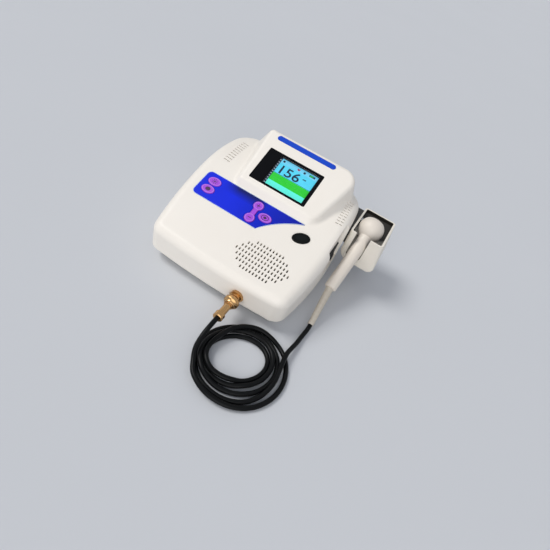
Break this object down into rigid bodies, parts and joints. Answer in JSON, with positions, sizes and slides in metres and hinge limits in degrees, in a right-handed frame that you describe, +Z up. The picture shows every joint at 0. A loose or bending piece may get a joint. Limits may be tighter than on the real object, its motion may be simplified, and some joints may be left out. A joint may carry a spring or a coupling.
{
  "type": "fetal doppler monitor",
  "caption": "Desktop fetal heart doppler: sloped console with a tilted display, keypad, speaker grille and side holder, and a ball-headed probe on a coiled cable with a bayonet plug.",
  "frame": {"origin": "centre of the footprint of the console and its probe holder, on the surface that the feet stand on", "axes": "+Z up, +Y from the front wall to the back, +X to the right towards the probe holder"},
  "size_m": [0.2052, 0.2553, 0.1011],
  "materials": {
    "casing": "fine satin texture",
    "feet": "matt",
    "screw_steel": "plated",
    "battery_wrap": "shrink wrap",
    "circuit_board": "solder mask",
    "shield": "tinned",
    "overlay_blue": "smooth printed film",
    "key_violet": "satin",
    "button_black": "polished",
    "switch_black": "moulded",
    "speaker_metal": "stove enamel",
    "speaker_paper": "pressed paper",
    "window_clear": "clear acrylic with a printed border",
    "display": "lit panel in a dark frame",
    "accent_blue": "polished",
    "brass": "turned",
    "cable_black": "smooth jacket",
    "probe_shell": "satin",
    "probe_lens": "smooth",
    "crystal": "ceramic",
    "relief": "matt",
    "holder": "fine satin texture",
    "holder_mount": "moulded"
  },
  "bodies": {
    "monitor": {"upper_shell": "casing", "lower_shell": "casing", "rubber_feet": "feet", "case_screws": "screw_steel", "battery_pack": "battery_wrap", "battery_cover": "casing", "battery_cover_screw": "screw_steel", "main_board": "circuit_board", "board_screws": "screw_steel", "shield_can": "shield", "keypad_overlay": "overlay_blue", "key_board": "circuit_board", "key_switches": "switch_black", "key_board_screws": "screw_steel", "speaker_frame": "speaker_metal", "speaker_cone": "speaker_paper", "speaker_magnet": "speaker_metal", "speaker_screws": "screw_steel", "display_window": "window_clear", "lcd_module": "display", "lcd_board": "circuit_board", "lcd_screws": "screw_steel", "accent_strip": "accent_blue", "bnc_socket": "brass", "bnc_washer": "brass", "bnc_nut": "brass", "plug_body": "brass", "plug_clamp_nut": "brass", "cable_lead": "cable_black", "cable_tail": "cable_black", "cable_coil": "cable_black", "probe_holder": "holder", "holder_bracket": "holder_mount", "holder_screws": "screw_steel", "power_switch_frame": "switch_black", "headphone_jack": "switch_black", "headphone_nut": "switch_black", "dc_jack": "switch_black", "dc_nut": "switch_black"},
    "rear_left_key": {"rear_left_key": "key_violet"},
    "front_left_key": {"front_left_key": "key_violet"},
    "right_key": {"right_key": "key_violet"},
    "oval_button": {"oval_button": "button_black"},
    "volume_rocker_key": {"volume_rocker_key": "key_violet"},
    "power_rocker": {"power_rocker": "switch_black"},
    "plug_coupling_nut": {"plug_coupling_nut": "brass"},
    "probe": {"probe_housing": "probe_shell", "probe_face": "probe_lens", "probe_crystals": "crystal", "probe_strain_relief": "relief"}
  },
  "joints": [
    {"name": "rear_left_key_press", "type": "slide", "parent": "monitor", "child": "rear_left_key", "axis": [0, -0.3234, 0.9463], "range_m": [-0.0008, 0], "stiffness_N_per_m": 300},
    {"name": "front_left_key_press", "type": "slide", "parent": "monitor", "child": "front_left_key", "axis": [0, -0.3234, 0.9463], "range_m": [-0.0008, 0], "stiffness_N_per_m": 300},
    {"name": "right_key_press", "type": "slide", "parent": "monitor", "child": "right_key", "axis": [0, -0.3234, 0.9463], "range_m": [-0.0008, 0], "stiffness_N_per_m": 300},
    {"name": "oval_button_press", "type": "slide", "parent": "monitor", "child": "oval_button", "axis": [0, -0.3234, 0.9463], "range_m": [-0.001, 0], "stiffness_N_per_m": 300},
    {"name": "volume_rocker_tilt", "type": "hinge", "parent": "monitor", "child": "volume_rocker_key", "pos_m": [-0.02438, -0.01093, 0.0566], "axis": [1, 0, 0], "range_deg": [-4, 4], "stiffness_Nm_per_rad": 0.1},
    {"name": "power_rocker_tilt", "type": "hinge", "parent": "monitor", "child": "power_rocker", "pos_m": [0.05752, 0.0173, 0.042], "axis": [0, 0, 1], "range_deg": [-16, 0]},
    {"name": "plug_coupling_turn", "type": "hinge", "parent": "monitor", "child": "plug_coupling_nut", "pos_m": [0.00812, -0.0887, 0.02], "axis": [0, 1, 0], "range_deg": [0, 90]},
    {"name": "probe_lift", "type": "slide", "parent": "monitor", "child": "probe", "axis": [0, 0, 1], "range_m": [0, 0.06], "deforming": ["cable_lead"]}
  ]
}
